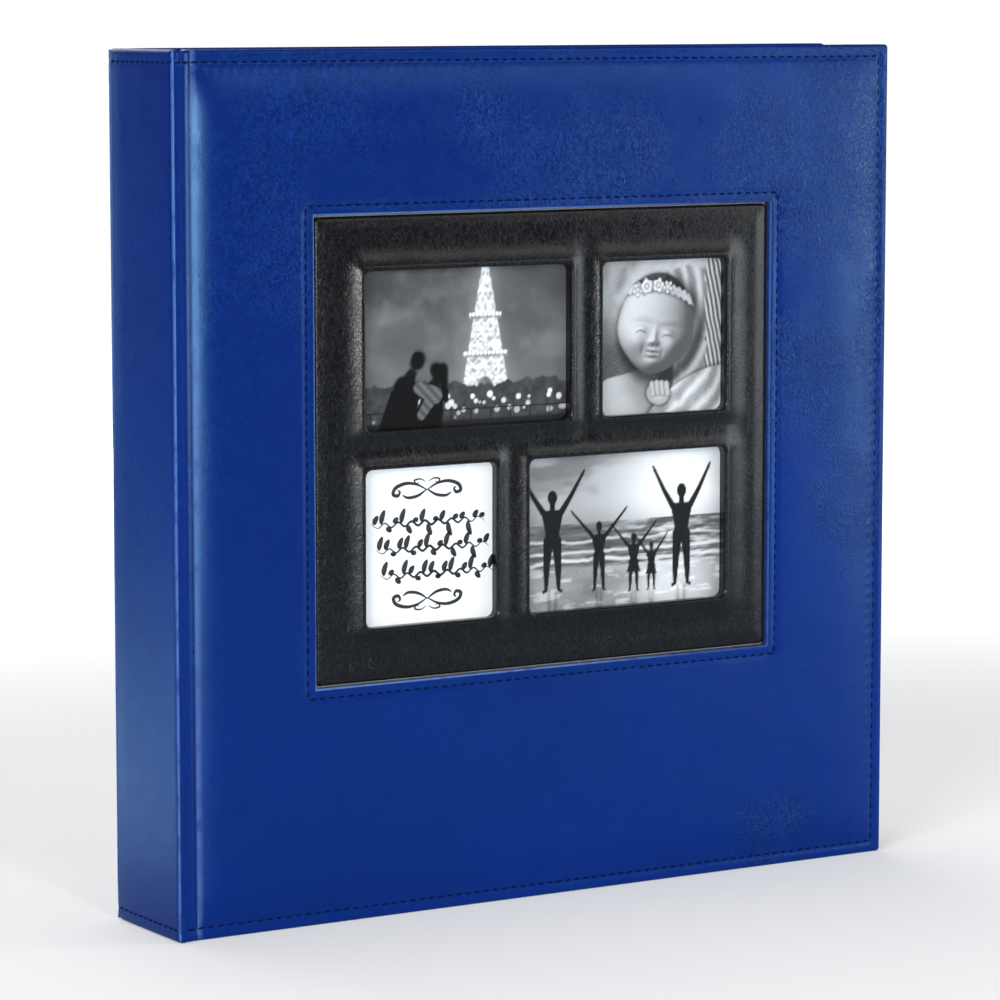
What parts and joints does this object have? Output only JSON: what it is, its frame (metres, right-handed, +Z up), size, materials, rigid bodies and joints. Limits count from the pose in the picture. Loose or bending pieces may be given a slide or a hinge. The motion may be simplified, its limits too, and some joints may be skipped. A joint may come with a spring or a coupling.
{
  "type": "scrapbook album",
  "caption": "Square padded leather scrapbook album with a framed multi-window picture panel in its front cover, hinged covers and punched leaves on screw posts.",
  "frame": {"origin": "centre of the bounding box on the surface that the album stands on", "axes": "+Z up the album's height, +X from the spine to the fore edge, -Y out of the front cover"},
  "size_m": [0.33, 0.0546, 0.335],
  "materials": {
    "blue_leather": "glossy creased leather",
    "black_leather": "glossy grained leather",
    "grey_board": "matt board",
    "foam": "open foam",
    "lining_paper": "matt black lining",
    "thread": "waxed thread",
    "picture_card": "satin print",
    "clear_film": "clear film",
    "post_metal": "plain",
    "leaf_card": "matt heavy card",
    "spacer_card": "matt card"
  },
  "bodies": {
    "spine_block": {"spine_leather": "blue_leather", "spine_board": "grey_board", "spine_lining": "lining_paper", "spine_stitching": "thread", "front_groove": "blue_leather", "rear_groove": "blue_leather", "front_flap": "lining_paper", "rear_flap": "lining_paper", "leaf_tabs": "leaf_card", "spacer_strips": "spacer_card", "post_barrels": "post_metal", "post_screws": "post_metal"},
    "front_cover": {"front_leather": "blue_leather", "front_foam": "foam", "front_board": "grey_board", "front_lining": "lining_paper", "front_stitching": "thread", "frame_leather": "black_leather", "frame_board": "grey_board", "frame_foam": "foam", "panel_stitching": "thread", "window_film": "clear_film", "picture_1": "picture_card", "picture_2": "picture_card", "picture_3": "picture_card", "picture_4": "picture_card"},
    "rear_cover": {"rear_leather": "blue_leather", "rear_foam": "foam", "rear_board": "grey_board", "rear_lining": "lining_paper", "rear_stitching": "thread"},
    "turning_leaf_01": {"leaf_01": "leaf_card"},
    "turning_leaf_02": {"leaf_02": "leaf_card"},
    "turning_leaf_03": {"leaf_03": "leaf_card"},
    "turning_leaf_04": {"leaf_04": "leaf_card"},
    "turning_leaf_05": {"leaf_05": "leaf_card"},
    "turning_leaf_06": {"leaf_06": "leaf_card"},
    "turning_leaf_07": {"leaf_07": "leaf_card"},
    "turning_leaf_08": {"leaf_08": "leaf_card"},
    "turning_leaf_09": {"leaf_09": "leaf_card"},
    "turning_leaf_10": {"leaf_10": "leaf_card"},
    "turning_leaf_11": {"leaf_11": "leaf_card"},
    "turning_leaf_12": {"leaf_12": "leaf_card"}
  },
  "joints": [
    {"name": "front_cover_hinge", "type": "hinge", "parent": "spine_block", "child": "front_cover", "pos_m": [-0.15975, -0.02568, 0.1675], "axis": [0, 0, -1], "range_deg": [0, 180]},
    {"name": "rear_cover_hinge", "type": "hinge", "parent": "spine_block", "child": "rear_cover", "pos_m": [-0.15975, 0.02568, 0.1675], "axis": [0, 0, 1], "range_deg": [0, 180]},
    {"name": "leaf_01_turn", "type": "hinge", "parent": "spine_block", "child": "turning_leaf_01", "pos_m": [-0.1308, -0.01441, 0.1675], "axis": [0, 0, -1], "range_deg": [0, 75.2]},
    {"name": "leaf_02_turn", "type": "hinge", "parent": "spine_block", "child": "turning_leaf_02", "pos_m": [-0.1308, -0.01179, 0.1675], "axis": [0, 0, -1], "range_deg": [0, 68.95]},
    {"name": "leaf_03_turn", "type": "hinge", "parent": "spine_block", "child": "turning_leaf_03", "pos_m": [-0.1308, -0.00917, 0.1675], "axis": [0, 0, -1], "range_deg": [0, 62.7]},
    {"name": "leaf_04_turn", "type": "hinge", "parent": "spine_block", "child": "turning_leaf_04", "pos_m": [-0.1308, -0.00655, 0.1675], "axis": [0, 0, -1], "range_deg": [0, 56.45]},
    {"name": "leaf_05_turn", "type": "hinge", "parent": "spine_block", "child": "turning_leaf_05", "pos_m": [-0.1308, -0.00393, 0.1675], "axis": [0, 0, -1], "range_deg": [0, 50.2]},
    {"name": "leaf_06_turn", "type": "hinge", "parent": "spine_block", "child": "turning_leaf_06", "pos_m": [-0.1308, -0.00131, 0.1675], "axis": [0, 0, -1], "range_deg": [0, 43.95]},
    {"name": "leaf_07_turn", "type": "hinge", "parent": "spine_block", "child": "turning_leaf_07", "pos_m": [-0.1308, 0.00131, 0.1675], "axis": [0, 0, -1], "range_deg": [0, 37.7]},
    {"name": "leaf_08_turn", "type": "hinge", "parent": "spine_block", "child": "turning_leaf_08", "pos_m": [-0.1308, 0.00393, 0.1675], "axis": [0, 0, -1], "range_deg": [0, 31.45]},
    {"name": "leaf_09_turn", "type": "hinge", "parent": "spine_block", "child": "turning_leaf_09", "pos_m": [-0.1308, 0.00655, 0.1675], "axis": [0, 0, -1], "range_deg": [0, 25.2]},
    {"name": "leaf_10_turn", "type": "hinge", "parent": "spine_block", "child": "turning_leaf_10", "pos_m": [-0.1308, 0.00917, 0.1675], "axis": [0, 0, -1], "range_deg": [0, 18.95]},
    {"name": "leaf_11_turn", "type": "hinge", "parent": "spine_block", "child": "turning_leaf_11", "pos_m": [-0.1308, 0.01179, 0.1675], "axis": [0, 0, -1], "range_deg": [0, 12.7]},
    {"name": "leaf_12_turn", "type": "hinge", "parent": "spine_block", "child": "turning_leaf_12", "pos_m": [-0.1308, 0.01441, 0.1675], "axis": [0, 0, -1], "range_deg": [0, 6.45]}
  ],
  "couplings": [
    {"joint": "leaf_01_turn", "follows": "front_cover_hinge", "ratio": 0.41667},
    {"joint": "leaf_02_turn", "follows": "front_cover_hinge", "ratio": 0.38194},
    {"joint": "leaf_03_turn", "follows": "front_cover_hinge", "ratio": 0.34722},
    {"joint": "leaf_04_turn", "follows": "front_cover_hinge", "ratio": 0.3125},
    {"joint": "leaf_05_turn", "follows": "front_cover_hinge", "ratio": 0.27778},
    {"joint": "leaf_06_turn", "follows": "front_cover_hinge", "ratio": 0.24306},
    {"joint": "leaf_07_turn", "follows": "front_cover_hinge", "ratio": 0.20833},
    {"joint": "leaf_08_turn", "follows": "front_cover_hinge", "ratio": 0.17361},
    {"joint": "leaf_09_turn", "follows": "front_cover_hinge", "ratio": 0.13889},
    {"joint": "leaf_10_turn", "follows": "front_cover_hinge", "ratio": 0.10417},
    {"joint": "leaf_11_turn", "follows": "front_cover_hinge", "ratio": 0.069444},
    {"joint": "leaf_12_turn", "follows": "front_cover_hinge", "ratio": 0.034722}
  ]
}
